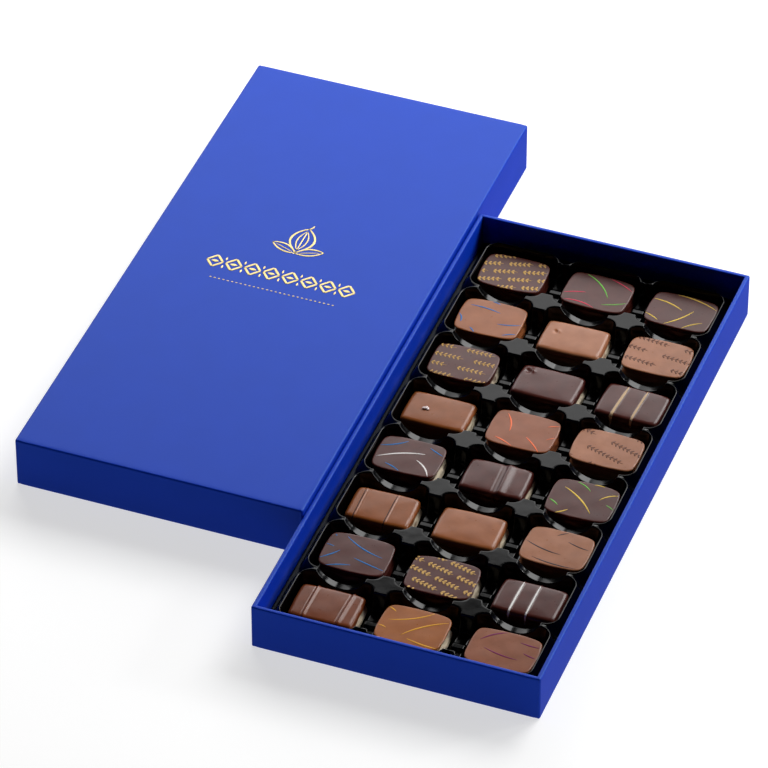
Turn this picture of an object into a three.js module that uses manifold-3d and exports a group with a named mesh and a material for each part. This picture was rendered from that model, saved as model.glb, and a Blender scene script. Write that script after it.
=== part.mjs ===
// A flat box of twenty-four chocolate pralines, open, with its loose lid lying beside it: a shallow base
// of covered board, a black formed tray with three by eight pockets, one praline in each, and the lid.
// Millimetres, +Z up. The origin is the middle of the base's underside, +X is across the box, +Y along it.

import * as THREE from "three";
import { mergeVertices } from "three/addons/utils/BufferGeometryUtils.js";
import Module from "manifold-3d";

const wasm = await Module();
wasm.setup();

// Driving dimensions
const gap = 0.3; // kept between pieces that touch

const base = { width: 120, length: 265, height: 20.7, wall: 2, floor: 1.8, corner: 0.9, ease: 0.3 };

const lid = {
  clearance: 0.5, // on each side when it is on the base
  wall: 1.8,
  top: 1.8,
  height: 23,
  corner: 1.1,
  ease: 0.4,
  pastBack: 62, // how far it lies beyond the base's back edge
};

const grid = { columns: "abc", rows: 8, pitchX: 36.5, pitchY: 31.5 };

const tray = {
  top: 13.4, // the flat rim between the pockets, above the table
  floor: 0.6,
  corner: 2,
  wallX: 5.2, // wall between two columns, at its top
  wallY: 2.6, // wall between two rows, at its top
  pocketCorner: 5,
  draftX: 0.15, // how far a pocket's floor stands in from its mouth
  draftY: 1.2,
};

const scoop = { armLength: 8, depth: 6.4, segments: 28 }; // finger scoop through the wall between two rows
const notch = { clearOfCorner: 5.3, depth: 8.3, slope: 1.2 }; // cut through the wall between two columns
const saddle = { width: 4.4, length: 3.4, height: 1.1 }; // low block left in the middle of each notch

const squareness = { cut: 5, dipped: 7 }; // power of the outline's superellipse
const outlinePoints = 20;

// How far a praline's outline stands in from its widest, and how high, from the bottom up
const profiles = {
  cut: [[0.5, 0], [0, 0.5], [0.1, 7.3], [0.5, 7.8]],
  dipped: [[0.6, 0], [0, 0.7], [0.15, 5.4], [0.7, 6.8], [1.8, 7.55], [4, 7.75]],
};

// Ridges run across a dipped praline's top, front to back, sunk a little into it
const ridgeSunk = 0.4;
const ridgeLift = 0.1; // of a ridge's foot above the profile's shoulder
const ridgeSizes = {
  wide: { width: 3, height: 0.8 },
  raised: { width: 1.8, height: 0.6 },
  piped: { width: 1, height: 0.3 },
};

// Each praline: its shift from the middle of its pocket, half its width and depth, and its turn in degrees
const pralines = {
  a1: { kind: "cut", cocoa: "dark", shift: [-0.6, 0.6], half: [14.4, 11.2], turn: 1 },
  b1: { kind: "cut", cocoa: "dark", shift: [0.2, 0.9], half: [14.5, 11.3], turn: -1 },
  c1: { kind: "cut", cocoa: "dark", shift: [0.5, 0.9], half: [14.5, 11.1], turn: -1 },
  a2: { kind: "cut", cocoa: "milk", shift: [0.5, 0.5], half: [14.3, 11.4], turn: 1 },
  b2: { kind: "dipped", cocoa: "milk", shift: [0.7, 0.1], half: [14.4, 10.4], turn: 1 },
  c2: { kind: "cut", cocoa: "milk", shift: [0.7, 1.0], half: [14.0, 11.4], turn: 1 },
  a3: { kind: "cut", cocoa: "dark", shift: [-0.2, 0.7], half: [14.2, 10.9], turn: 1 },
  b3: { kind: "dipped", cocoa: "dark", shift: [0.3, 0.5], half: [14.4, 10.3], turn: -1 },
  c3: { kind: "dipped", cocoa: "dark", shift: [0.5, 0.8], half: [14.5, 10.8], turn: -1.5 },
  a4: { kind: "dipped", cocoa: "milk", shift: [0.4, 0.3], half: [14.6, 10.4], turn: 0 },
  b4: { kind: "cut", cocoa: "milk", shift: [0.7, 0.1], half: [14.4, 11.4], turn: 0 },
  c4: { kind: "cut", cocoa: "milk", shift: [-0.1, 1.1], half: [14.5, 11.0], turn: 0 },
  a5: { kind: "cut", cocoa: "dark", shift: [-0.8, 0.5], half: [14.2, 11.0], turn: 1 },
  b5: { kind: "dipped", cocoa: "dark", shift: [0.3, 0.5], half: [14.2, 10.3], turn: 1 },
  c5: { kind: "cut", cocoa: "dark", shift: [0.8, -0.5], half: [14.2, 11.4], turn: 1 },
  a6: { kind: "dipped", cocoa: "milk", shift: [0, -0.6], half: [14.2, 10.4], turn: 1 },
  b6: { kind: "dipped", cocoa: "milk", shift: [0.3, -0.3], half: [14.2, 10.7], turn: 1 },
  c6: { kind: "cut", cocoa: "milk", shift: [0.8, 0], half: [14.1, 11.1], turn: 0 },
  a7: { kind: "cut", cocoa: "dark", shift: [0.4, 0.4], half: [14.3, 11.2], turn: 1 },
  b7: { kind: "cut", cocoa: "dark", shift: [0.5, -0.6], half: [14.5, 11.0], turn: 2 },
  c7: { kind: "dipped", cocoa: "dark", shift: [0.6, -0.5], half: [14.2, 10.4], turn: 0 },
  a8: { kind: "dipped", cocoa: "milk", shift: [-0.2, -0.1], half: [14.2, 10.6], turn: 1 },
  b8: { kind: "cut", cocoa: "milk", shift: [-0.3, -0.8], half: [14.2, 11.2], turn: 0 },
  c8: { kind: "cut", cocoa: "milk", shift: [0.8, -0.8], half: [14.3, 11.0], turn: 0 },
};

// The pralines with ridges: their size, and how far each lies from the middle
const ridged = {
  c3: { size: "piped", at: [-5.5, 3.1] },
  b5: { size: "wide", at: [3.2] },
  a6: { size: "piped", at: [-9.5, 3.9] },
  c7: { size: "piped", at: [-5.4, 1.6] },
  a8: { size: "raised", at: [-6.9, 8.3] },
};

// Worked out from the driving dimensions
const lidWidth = base.width + 2 * (lid.clearance + lid.wall);
const lidLength = base.length + 2 * (lid.clearance + lid.wall);
const trayBottom = base.floor + gap;
const pocketFloor = trayBottom + tray.floor;
const mouthX = (grid.pitchX - tray.wallX) / 2;
const mouthY = (grid.pitchY - tray.wallY) / 2;

// Finishes
const finish = (color, roughness) => new THREE.MeshStandardMaterial({ color, roughness, metalness: 0 });
const finishes = {
  coveredBoard: finish(0x2747a8, 0.45),
  blackTray: finish(0x0b0b0c, 0.2),
  dark: finish(0x4b322c, 0.4),
  milk: finish(0x8a5a3c, 0.4),
};

// A closed geometry through rings of points, each ring [points, z] with the same number of [x, y] points
// that run counterclockwise, closed at both ends by a fan around the ring's middle.
function loft(rings) {
  const count = rings[0][0].length;
  const positions = [];
  const indices = [];
  for (const [points, z] of rings) for (const [x, y] of points) positions.push(x, y, z);
  const bottomMiddle = rings.length * count;
  const topMiddle = bottomMiddle + 1;
  positions.push(0, 0, rings[0][1], 0, 0, rings.at(-1)[1]);
  const topStart = (rings.length - 1) * count;
  for (let i = 0; i < count; i++) {
    const next = (i + 1) % count;
    for (let start = 0; start < topStart; start += count) {
      const [a, b, c, d] = [start + i, start + next, start + count + next, start + count + i];
      indices.push(a, b, c, a, c, d);
    }
    indices.push(bottomMiddle, next, i, topMiddle, topStart + i, topStart + next);
  }
  const geometry = new THREE.BufferGeometry();
  geometry.setAttribute("position", new THREE.Float32BufferAttribute(positions, 3));
  geometry.setIndex(indices);
  return geometry;
}

// Points of a rectangle with round corners, half sizes hx and hy, with `steps` steps in each corner.
function roundedRectangle(hx, hy, radius, steps) {
  const points = [];
  for (let corner = 0; corner < 4; corner++) {
    const signX = corner === 0 || corner === 3 ? 1 : -1;
    const signY = corner < 2 ? 1 : -1;
    for (let k = 0; k <= steps; k++) {
      const angle = (corner + k / steps) * (Math.PI / 2);
      const x = signX * (hx - radius) + radius * Math.cos(angle);
      const y = signY * (hy - radius) + radius * Math.sin(angle);
      points.push([x, y]);
    }
  }
  return points;
}

// Points of a superellipse: an oblong with bowed sides and round corners, squarer as the power grows.
function superellipse(hx, hy, power) {
  const root = (value) => Math.sign(value) * Math.abs(value) ** (2 / power);
  return Array.from({ length: outlinePoints }, (_, k) => {
    const angle = (2 * Math.PI * k) / outlinePoints;
    return [hx * root(Math.cos(angle)), hy * root(Math.sin(angle))];
  });
}

function toSolid(geometry) {
  const bare = geometry.clone();
  bare.deleteAttribute("normal");
  bare.deleteAttribute("uv");
  const merged = mergeVertices(bare, 1e-4);
  return new wasm.Manifold(
    new wasm.Mesh({
      numProp: 3,
      vertProperties: merged.attributes.position.array,
      triVerts: new Uint32Array(merged.index.array),
    }),
  );
}

function toGeometry(solid) {
  const mesh = solid.getMesh();
  const geometry = new THREE.BufferGeometry();
  geometry.setAttribute("position", new THREE.BufferAttribute(mesh.vertProperties, 3));
  geometry.setIndex(new THREE.BufferAttribute(mesh.triVerts, 1));
  return geometry;
}

function named(name, geometry, material) {
  const mesh = new THREE.Mesh(geometry, material);
  mesh.name = name;
  return mesh;
}

// A block with round upright edges, and its lowest and highest edges eased.
function easedBlock(width, length, bottom, top, corner, easeBottom, easeTop) {
  const cornerSteps = 3;
  const ring = (inset) => roundedRectangle(width / 2 - inset, length / 2 - inset, corner, cornerSteps);
  const rings = [[ring(0), bottom + easeBottom], [ring(0), top - easeTop]];
  if (easeBottom) rings.unshift([ring(easeBottom), bottom]);
  if (easeTop) rings.push([ring(easeTop), top]);
  return toSolid(loft(rings));
}

// The base: a shallow open box of board.
function makeBase() {
  const outside = easedBlock(base.width, base.length, 0, base.height, base.corner, base.ease, base.ease);
  const hollow = easedBlock(
    base.width - 2 * base.wall, base.length - 2 * base.wall,
    base.floor, base.height + 1, base.corner / 2, 0, 0,
  );
  return named("base_box", toGeometry(outside.subtract(hollow)), finishes.coveredBoard);
}

// The lid: the same box a little wider, open side down, lying along the base's left wall.
function makeLid() {
  const outside = easedBlock(lidWidth, lidLength, 0, lid.height, lid.corner, 0, lid.ease);
  const hollow = easedBlock(
    lidWidth - 2 * lid.wall, lidLength - 2 * lid.wall,
    -1, lid.height - lid.top, lid.corner / 2, 0, 0,
  );
  const mesh = named("lid", toGeometry(outside.subtract(hollow)), finishes.coveredBoard);
  mesh.position.x = -(base.width / 2 + gap + lidWidth / 2);
  mesh.position.y = base.length / 2 + lid.pastBack - lidLength / 2;
  return mesh;
}

const columnX = (column) => (column - (grid.columns.length - 1) / 2) * grid.pitchX;
const rowY = (row) => ((grid.rows - 1) / 2 - row) * grid.pitchY;

// One pocket's hollow, from its floor to past the tray's top.
function pocketHollow() {
  const depth = tray.top - pocketFloor;
  const past = 1;
  const ring = (share) =>
    roundedRectangle(mouthX - tray.draftX * share, mouthY - tray.draftY * share, tray.pocketCorner, 4);
  return toSolid(loft([[ring(1), pocketFloor], [ring(-past / depth), tray.top + past]]));
}

// A finger scoop's hollow: a round bar along Y whose lowest line is the scoop's deepest.
function scoopHollow() {
  const halfWidth = grid.pitchX / 2 - scoop.armLength;
  const radius = (halfWidth ** 2 + scoop.depth ** 2) / (2 * scoop.depth);
  const reach = tray.wallY + 2 * tray.draftY;
  const bar = new THREE.CylinderGeometry(radius, radius, reach, scoop.segments);
  bar.translate(0, 0, tray.top - scoop.depth + radius);
  return toSolid(bar);
}

// The notch between two columns, its ends sloping, without the low saddle block in its middle.
function notchHollow() {
  const halfTop = grid.pitchY / 2 - notch.clearOfCorner;
  const reach = tray.wallX + 2 * tray.draftX + 1;
  const bottom = tray.top - notch.depth;
  const past = 1;
  const slopePast = (notch.slope * past) / notch.depth;
  const side = new THREE.Shape([
    new THREE.Vector2(notch.slope - halfTop, bottom),
    new THREE.Vector2(halfTop - notch.slope, bottom),
    new THREE.Vector2(halfTop + slopePast, tray.top + past),
    new THREE.Vector2(-halfTop - slopePast, tray.top + past),
  ]);
  const cut = new THREE.ExtrudeGeometry(side, { depth: reach, bevelEnabled: false });
  cut.rotateX(Math.PI / 2).rotateZ(Math.PI / 2).translate(-reach / 2, 0, 0);
  const block = new THREE.BoxGeometry(saddle.width, saddle.length, 2 * saddle.height);
  block.translate(0, 0, bottom);
  return toSolid(cut).subtract(toSolid(block));
}

// The tray: a block that fills the base up to its rim, with pockets, scoops and notches cut out.
function makeTray() {
  const width = base.width - 2 * (base.wall + gap);
  const length = base.length - 2 * (base.wall + gap);
  const pocket = pocketHollow();
  const scoopCut = scoopHollow();
  const notchCut = notchHollow();
  let solid = easedBlock(width, length, trayBottom, tray.top, tray.corner, 0, 0);
  for (let column = 0; column < grid.columns.length; column++) {
    for (let row = 0; row < grid.rows; row++) {
      const x = columnX(column);
      const y = rowY(row);
      solid = solid.subtract(pocket.translate([x, y, 0]));
      if (row > 0) solid = solid.subtract(scoopCut.translate([x, y + grid.pitchY / 2, 0]));
      if (column > 0) solid = solid.subtract(notchCut.translate([x - grid.pitchX / 2, y, 0]));
    }
  }
  return named("tray", toGeometry(solid), finishes.blackTray);
}

// A low arched ridge across a dipped praline's top, at x.
function ridgeSolid(size, x, halfY) {
  const { width, height } = ridgeSizes[size];
  const arch = new THREE.Shape();
  arch.moveTo(width / 2, -ridgeSunk);
  arch.lineTo(width / 2, 0);
  arch.absellipse(0, 0, width / 2, height, 0, Math.PI, false, 0);
  arch.lineTo(-width / 2, -ridgeSunk);
  const [shoulder, shoulderZ] = profiles.dipped.at(-2);
  const halfLength = halfY - shoulder;
  const shape = { depth: 2 * halfLength, bevelEnabled: false, curveSegments: 4 };
  const bar = new THREE.ExtrudeGeometry(arch, shape);
  bar.rotateX(Math.PI / 2).translate(x, halfLength, shoulderZ + ridgeLift);
  return toSolid(bar);
}

// One praline, standing on its pocket's floor.
function makePraline(name, column, row) {
  const { kind, cocoa, shift, half, turn } = pralines[name];
  const { size, at } = ridged[name] ?? { at: [] };
  const rings = profiles[kind].map(([inset, z]) => [
    superellipse(half[0] - inset, half[1] - inset, squareness[kind]),
    z,
  ]);
  let solid = toSolid(loft(rings));
  for (const x of at) solid = solid.add(ridgeSolid(size, x, half[1]));
  const mesh = named("praline_" + name, toGeometry(solid), finishes[cocoa]);
  mesh.position.set(columnX(column) + shift[0], rowY(row) + shift[1], pocketFloor + gap);
  mesh.rotation.z = THREE.MathUtils.degToRad(turn);
  return mesh;
}

const box = new THREE.Group();
box.add(makeBase(), makeLid(), makeTray());
const sweets = new THREE.Group();
for (let row = 0; row < grid.rows; row++) {
  [...grid.columns].forEach((letter, column) => sweets.add(makePraline(letter + (row + 1), column, row)));
}
box.add(sweets);

export default box;
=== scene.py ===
import bmesh
import bpy
import numpy as np
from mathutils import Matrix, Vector


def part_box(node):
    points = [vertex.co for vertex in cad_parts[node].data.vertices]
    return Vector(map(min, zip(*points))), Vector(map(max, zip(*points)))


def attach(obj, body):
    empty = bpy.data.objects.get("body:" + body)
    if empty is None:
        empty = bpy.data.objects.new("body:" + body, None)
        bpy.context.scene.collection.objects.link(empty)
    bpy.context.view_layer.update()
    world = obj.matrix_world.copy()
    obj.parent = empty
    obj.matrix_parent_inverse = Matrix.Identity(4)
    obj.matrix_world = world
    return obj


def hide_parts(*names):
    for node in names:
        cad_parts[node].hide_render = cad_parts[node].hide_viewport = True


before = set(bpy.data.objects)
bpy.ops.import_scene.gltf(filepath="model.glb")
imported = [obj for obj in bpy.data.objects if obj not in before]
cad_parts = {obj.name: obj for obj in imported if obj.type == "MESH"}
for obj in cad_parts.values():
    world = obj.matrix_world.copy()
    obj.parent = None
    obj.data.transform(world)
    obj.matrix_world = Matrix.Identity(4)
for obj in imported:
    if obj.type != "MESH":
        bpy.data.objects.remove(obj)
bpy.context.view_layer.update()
mm = 0.001
fullTurn = 2 * np.pi
weldWithin = 0.004  # points that lie nearer than this become one

print("camera")

cameraView = {
    "target": (-63.5, 25.8, 9.0),
    "azimuth": 20.5,  # to the right of the box's length
    "elevation": 40.0,
    "distance": 2384.0,
    "lens": 271.5,
    "sensor": 36.0,
}


def viewDirection(azimuth, elevation):
    # The unit vector from a place at that azimuth and elevation towards the middle.
    turn, rise = np.radians([azimuth, elevation])
    return Vector((-np.sin(turn) * np.cos(rise), np.cos(turn) * np.cos(rise), -np.sin(rise)))


def makeCamera(view):
    look = viewDirection(view["azimuth"], view["elevation"])
    lens = bpy.data.cameras.new("camera")
    lens.lens = view["lens"]
    lens.sensor_width = view["sensor"]
    camera = bpy.data.objects.new("camera", lens)
    camera.location = (Vector(view["target"]) - look * view["distance"]) * mm
    camera.rotation_euler = look.to_track_quat("-Z", "Y").to_euler()
    bpy.context.scene.collection.objects.link(camera)
    bpy.context.scene.camera = camera


makeCamera(cameraView)


# Surfaces: each shape is worked out as rows of points, and a row closes on itself


def gridFaces(rows, columns):
    # Quads between neighbouring rows; they face out where rows run up and points counterclockwise.
    start = np.arange(rows - 1)[:, None] * columns
    here = np.arange(columns)[None, :]
    after = (here + 1) % columns
    quads = [start + here, start + after, start + columns + after, start + columns + here]
    return np.stack(quads, -1).reshape(-1, 4)


def closedShell(rings):
    # Rings of points from the middle of the underside, out, up and in again, with a fan at each end.
    rows, columns, _ = rings.shape
    points = np.concatenate([rings.reshape(-1, 3), rings[:1].mean(1), rings[-1:].mean(1)])
    here = np.arange(columns)
    after = (here + 1) % columns
    last = (rows - 1) * columns
    below = np.full(columns, rows * columns)
    under = np.stack([below, after, here], -1)
    over = np.stack([last + here, last + after, below + 1], -1)
    return points, gridFaces(rows, columns).tolist() + under.tolist() + over.tolist()


def joinShapes(shapes):
    # Several (points, faces) as one, the later faces counted on from the earlier points.
    points = []
    faces = []
    count = 0
    for shapePoints, shapeFaces in shapes:
        points.append(shapePoints)
        faces += [[corner + count for corner in face] for face in shapeFaces]
        count += len(shapePoints)
    return np.concatenate(points), faces


def makePiece(name, points, faces, materials, faceMaterials=None):
    # A smooth mesh from points in millimetres, which rides on the box.
    mesh = bpy.data.meshes.new(name)
    mesh.from_pydata((np.asarray(points) * mm).tolist(), [], faces)
    mesh.polygons.foreach_set("use_smooth", np.ones(len(mesh.polygons), bool))
    for material in materials:
        mesh.materials.append(material)
    if faceMaterials is not None:
        mesh.polygons.foreach_set("material_index", np.asarray(faceMaterials, np.int32))
    mesh.validate()
    piece = bpy.data.objects.new(name, mesh)
    bpy.context.scene.collection.objects.link(piece)
    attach(piece, "root")
    return piece


def filletedPath(corners, steps=4):
    # A polyline of (x, y, radius) whose corners are arcs: each arc is a quadratic blend of the two
    # points that lie one tangent length before and after its corner.
    corners = np.asarray(corners, float)
    path = [corners[0, :2]]
    share = np.linspace(0, 1, steps + 1)[:, None]
    for before, here, after in zip(corners[:-2], corners[1:-1], corners[2:]):
        if here[2] == 0:
            path.append(here[:2])
            continue
        start = here[:2] + (before[:2] - here[:2]) * here[2] / np.linalg.norm(before[:2] - here[:2])
        end = here[:2] + (after[:2] - here[:2]) * here[2] / np.linalg.norm(after[:2] - here[:2])
        path += list(start * (1 - share) ** 2 + here[:2] * 2 * share * (1 - share) + end * share**2)
    path.append(corners[-1, :2])
    return np.array(path)


def smoothPath(points, steps=4):
    # A Catmull-Rom curve through the points: a cubic between two points whose slope at each is half
    # the way from the point before it to the point after it.
    points = np.asarray(points, float)
    padded = np.concatenate([2 * points[:1] - points[1:2], points, 2 * points[-1:] - points[-2:-1]])
    p0, p1, p2, p3 = padded[:-3], padded[1:-2], padded[2:-1], padded[3:]
    t = (np.arange(steps) / steps)[:, None, None]
    curve = p1 + t * (p2 - p0) / 2 + t**2 * (2 * p0 - 5 * p1 + 4 * p2 - p3) / 2
    curve = curve + t**3 * (3 * p1 - p0 - 3 * p2 + p3) / 2
    return np.concatenate([curve.swapaxes(0, 1).reshape(-1, points.shape[1]), points[-1:]])


def smoothStep(low, high, value):
    share = np.clip((value - low) / (high - low), 0, 1)
    return share * share * (3 - 2 * share)


def ripple(x, y, seed, wavelength):
    # Soft unevenness between about -1 and 1: three crossed sine waves whose phases come from the seed.
    phase = np.array([1.7, 2.9, 4.3]) * (seed + 1)
    k = fullTurn / wavelength
    waves = np.sin(k * x + phase[0]) + np.sin(k * (0.6 * x + 0.9 * y) * 1.3 + phase[1])
    return (waves + np.sin(k * (0.8 * y - 0.5 * x) * 1.7 + phase[2])) / 3


# Materials


class Finish:
    # A Principled material with a look's plain values, and short ways to add nodes to it.

    def __init__(self, name, look):
        self.material = bpy.data.materials.new(name)
        self.material.use_nodes = True
        self.tree = self.material.node_tree
        self.shader = self.tree.nodes["Principled BSDF"]
        self.shader.inputs["Base Color"].default_value = (*look["color"], 1)
        self.shader.inputs["Roughness"].default_value = look["roughness"]
        self.shader.inputs["Specular IOR Level"].default_value = look["specular"]
        self.shader.inputs["Metallic"].default_value = look.get("metallic", 0.0)
        self.place = self.tree.nodes.new("ShaderNodeTexCoord").outputs["Object"]

    def noise(self, size, detail=3.0, stretch=None):
        # Cloudy noise whose features are about that many millimetres across.
        node = self.tree.nodes.new("ShaderNodeTexNoise")
        node.inputs["Scale"].default_value = 1 / (size * mm)
        node.inputs["Detail"].default_value = detail
        source = self.place
        if stretch:
            mapping = self.tree.nodes.new("ShaderNodeMapping")
            mapping.inputs["Scale"].default_value = stretch
            self.tree.links.new(source, mapping.inputs["Vector"])
            source = mapping.outputs["Vector"]
        self.tree.links.new(source, node.inputs["Vector"])
        return node.outputs["Fac"]

    def ramp(self, source, stops):
        # Colours along a value: stops are (place, colour).
        node = self.tree.nodes.new("ShaderNodeValToRGB")
        ramp = node.color_ramp
        stops = list(stops)
        while len(ramp.elements) < len(stops):
            ramp.elements.new(0.5)
        for element, (place, color) in zip(ramp.elements, stops):
            element.position = place
            element.color = (*color, 1)
        self.tree.links.new(source, node.inputs["Fac"])
        return node.outputs["Color"]

    def givingWay(self, source, attributeName, color):
        # The source, giving way to a colour as the mesh's attribute goes from 0 to 1.
        share = self.tree.nodes.new("ShaderNodeAttribute")
        share.attribute_name = attributeName
        node = self.tree.nodes.new("ShaderNodeMixRGB")
        node.inputs["Color2"].default_value = (*color, 1)
        self.tree.links.new(share.outputs["Fac"], node.inputs["Fac"])
        self.tree.links.new(source, node.inputs["Color1"])
        return node.outputs["Color"]

    def rough(self, source, ends):
        # Roughness that goes with the source, between two values.
        node = self.tree.nodes.new("ShaderNodeMapRange")
        node.inputs["To Min"].default_value = ends[0]
        node.inputs["To Max"].default_value = ends[1]
        self.tree.links.new(source, node.inputs["Value"])
        self.tree.links.new(node.outputs["Result"], self.shader.inputs["Roughness"])

    def bump(self, layers):
        # Relief from (source, height in mm) layers, one bump node after the other.
        normal = None
        for source, height in layers:
            node = self.tree.nodes.new("ShaderNodeBump")
            node.inputs["Strength"].default_value = 1.0
            node.inputs["Distance"].default_value = height * mm
            self.tree.links.new(source, node.inputs["Height"])
            if normal:
                self.tree.links.new(normal, node.inputs["Normal"])
            normal = node.outputs["Normal"]
        self.tree.links.new(normal, self.shader.inputs["Normal"])

    def reliefs(self, layers):
        # Relief from noises of (size, detail, height).
        self.bump([(self.noise(size, detail), height) for size, detail, height in layers])

    def color(self, source):
        self.tree.links.new(source, self.shader.inputs["Base Color"])


# A look's noises are (size in mm, detail), its reliefs (size, detail, height in mm)
paperLook = {
    "color": (0.002, 0.032, 0.45),
    "mottle": [(0.3, (0.0019, 0.0313, 0.441)), (0.7, (0.0021, 0.0327, 0.459))],
    "mottleNoise": (14, 1),
    "roughness": 0.42,
    "roughRange": (0.36, 0.46),
    "specular": 0.17,
    "glossTint": (0.42, 1, 1, 1),
    "fibres": (0.5, 4, (0.25, 1, 1)),
    "crossFibres": (0.5, 4, (1, 0.25, 1)),
    "fibreHeights": (0.012, 0.01),
}


def coveringPaper(look):
    # Smooth dyed paper: a deep blue, faintly mottled, with short fibres in two directions.
    finish = Finish("bluePaper", look)
    finish.shader.inputs["Specular Tint"].default_value = look["glossTint"]
    finish.color(finish.ramp(finish.noise(*look["mottleNoise"]), look["mottle"]))
    fibres = finish.noise(*look["fibres"])
    crossed = finish.noise(*look["crossFibres"])
    finish.rough(fibres, look["roughRange"])
    finish.bump(zip((fibres, crossed), look["fibreHeights"]))
    return finish.material


plasticLook = {
    "color": (0.0008, 0.0008, 0.001),
    "roughness": 0.14,
    "roughNoise": (6, 2),
    "roughRange": (0.1, 0.2),
    "specular": 0.14,
    "reliefs": [(7, 1, 0.05), (0.9, 2, 0.004)],
}


def formedPlastic(look):
    # Glossy black sheet: almost mirror smooth, with the slow waviness that forming leaves.
    finish = Finish("blackPlastic", look)
    finish.rough(finish.noise(*look["roughNoise"]), look["roughRange"])
    finish.reliefs(look["reliefs"])
    return finish.material


# Chocolates: three close shades each, and what they have in common
cocoaShades = {
    "dark": [(0.058, 0.0112, 0.008), (0.068, 0.0135, 0.0095), (0.08, 0.0165, 0.0118)],
    "deepMilk": [(0.13, 0.029, 0.0065), (0.15, 0.034, 0.008), (0.172, 0.041, 0.0105)],
    "warmMilk": [(0.202, 0.055, 0.01), (0.225, 0.062, 0.012), (0.25, 0.071, 0.0155)],
    "goldenMilk": [(0.262, 0.074, 0.009), (0.29, 0.083, 0.011), (0.322, 0.095, 0.014)],
    "rosyMilk": [(0.215, 0.064, 0.024), (0.24, 0.072, 0.028), (0.265, 0.082, 0.034)],
    "milk": [(0.245, 0.074, 0.021), (0.27, 0.083, 0.024), (0.3, 0.094, 0.029)],
    "paleMilk": [(0.29, 0.109, 0.049), (0.32, 0.122, 0.056), (0.355, 0.137, 0.065)],
}
chocolateLook = {
    "shadePlaces": (0.3, 0.5, 0.72),
    "clouds": (5, 4),
    # painted highlight: a cream colour that stands in for the gloss on the lower right sides
    "paintedHighlightColor": (0.82, 0.7, 0.52),
    "roughness": 0.29,
    "roughNoise": (1.6, 3),
    "roughRange": (0.25, 0.33),
    "specular": 0.22,
    "reliefs": [(3.5, 1, 0.012), (0.35, 3, 0.004)],
}


def chocolate(name, shades, look):
    # Tempered chocolate: three close shades in soft clouds, a fine grain and a satin gloss, and a
    # cream painted highlight on the lower right side where the piece's attribute says so.
    finish = Finish(name, {"color": shades[1], **look})
    clouds = finish.ramp(finish.noise(*look["clouds"]), zip(look["shadePlaces"], shades))
    # the cream painted highlight, mixed in where the attribute says so
    finish.color(finish.givingWay(clouds, "paintedHighlight", look["paintedHighlightColor"]))
    finish.rough(finish.noise(*look["roughNoise"]), look["roughRange"])
    finish.reliefs(look["reliefs"])
    return finish.material


icingLook = {
    "roughness": 0.5,
    "specular": 0.15,
    "paler": 1.15,
    "shadePlaces": (0.35, 0.75),
    "clouds": (0.8, 2),
    "reliefs": [(0.3, 2, 0.01)],
}


def icing(name, color, look):
    # Coloured cocoa butter in a thin line, in two close shades.
    finish = Finish(name, {"color": color, **look})
    paler = tuple(min(1, look["paler"] * part) for part in color)
    finish.color(finish.ramp(finish.noise(*look["clouds"]), zip(look["shadePlaces"], (color, paler))))
    finish.reliefs(look["reliefs"])
    return finish.material


foilLook = {
    "color": (0.42, 0.34, 0.15),
    "shades": [(0.3, (0.38, 0.3, 0.125)), (0.7, (0.46, 0.375, 0.175))],
    "clouds": (2, 3),
    "roughness": 0.35,
    "roughNoise": (0.4, 3),
    "roughRange": (0.3, 0.45),
    "specular": 0.5,
    "metallic": 1.0,
    "reliefs": [(0.5, 3, 0.01)],
}


def goldFoil(look):
    # Stamped foil: a pale gold metal with the paper's grain showing through.
    finish = Finish("goldFoil", look)
    finish.color(finish.ramp(finish.noise(*look["clouds"]), look["shades"]))
    finish.rough(finish.noise(*look["roughNoise"]), look["roughRange"])
    finish.reliefs(look["reliefs"])
    return finish.material


saltLook = {
    "color": (0.72, 0.6, 0.58),
    "shades": [(0.3, (0.62, 0.48, 0.45)), (0.7, (0.8, 0.7, 0.69))],
    "clouds": (0.7, 2),
    "roughness": 0.25,
    "specular": 0.5,
}


def salt(look):
    # Cloudy crystals, glossy on their facets.
    finish = Finish("saltCrystal", look)
    finish.color(finish.ramp(finish.noise(*look["clouds"]), look["shades"]))
    return finish.material


print("materials")

paper = coveringPaper(paperLook)
blackPlastic = formedPlastic(plasticLook)
foil = goldFoil(foilLook)
saltCrystal = salt(saltLook)
cocoas = {}
for name, shades in cocoaShades.items():
    cocoas[name] = chocolate(name + "Chocolate", shades, chocolateLook)

# Covered board: the open base and its lid

boardMesh = {
    "sideStep": 12.0,
    "nearCorner": [0.4, 1.2, 2.0, 2.4, 3.0],  # places of the first points after a corner
    "cornerZone": 6.0,  # where the even steps stop before a corner
    "cornerSteps": 6,
    "bendSteps": 5,
    "insideBend": 0.5,
    "leastCorner": 0.25,
    "flatRing": 3.0,  # how far from a wall a flat face's outer ring of points lies
    "flapEdge": (1.9, 2.5),
    "endFacing": 0.99,  # how squarely an end wall's point faces along the box
}


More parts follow.
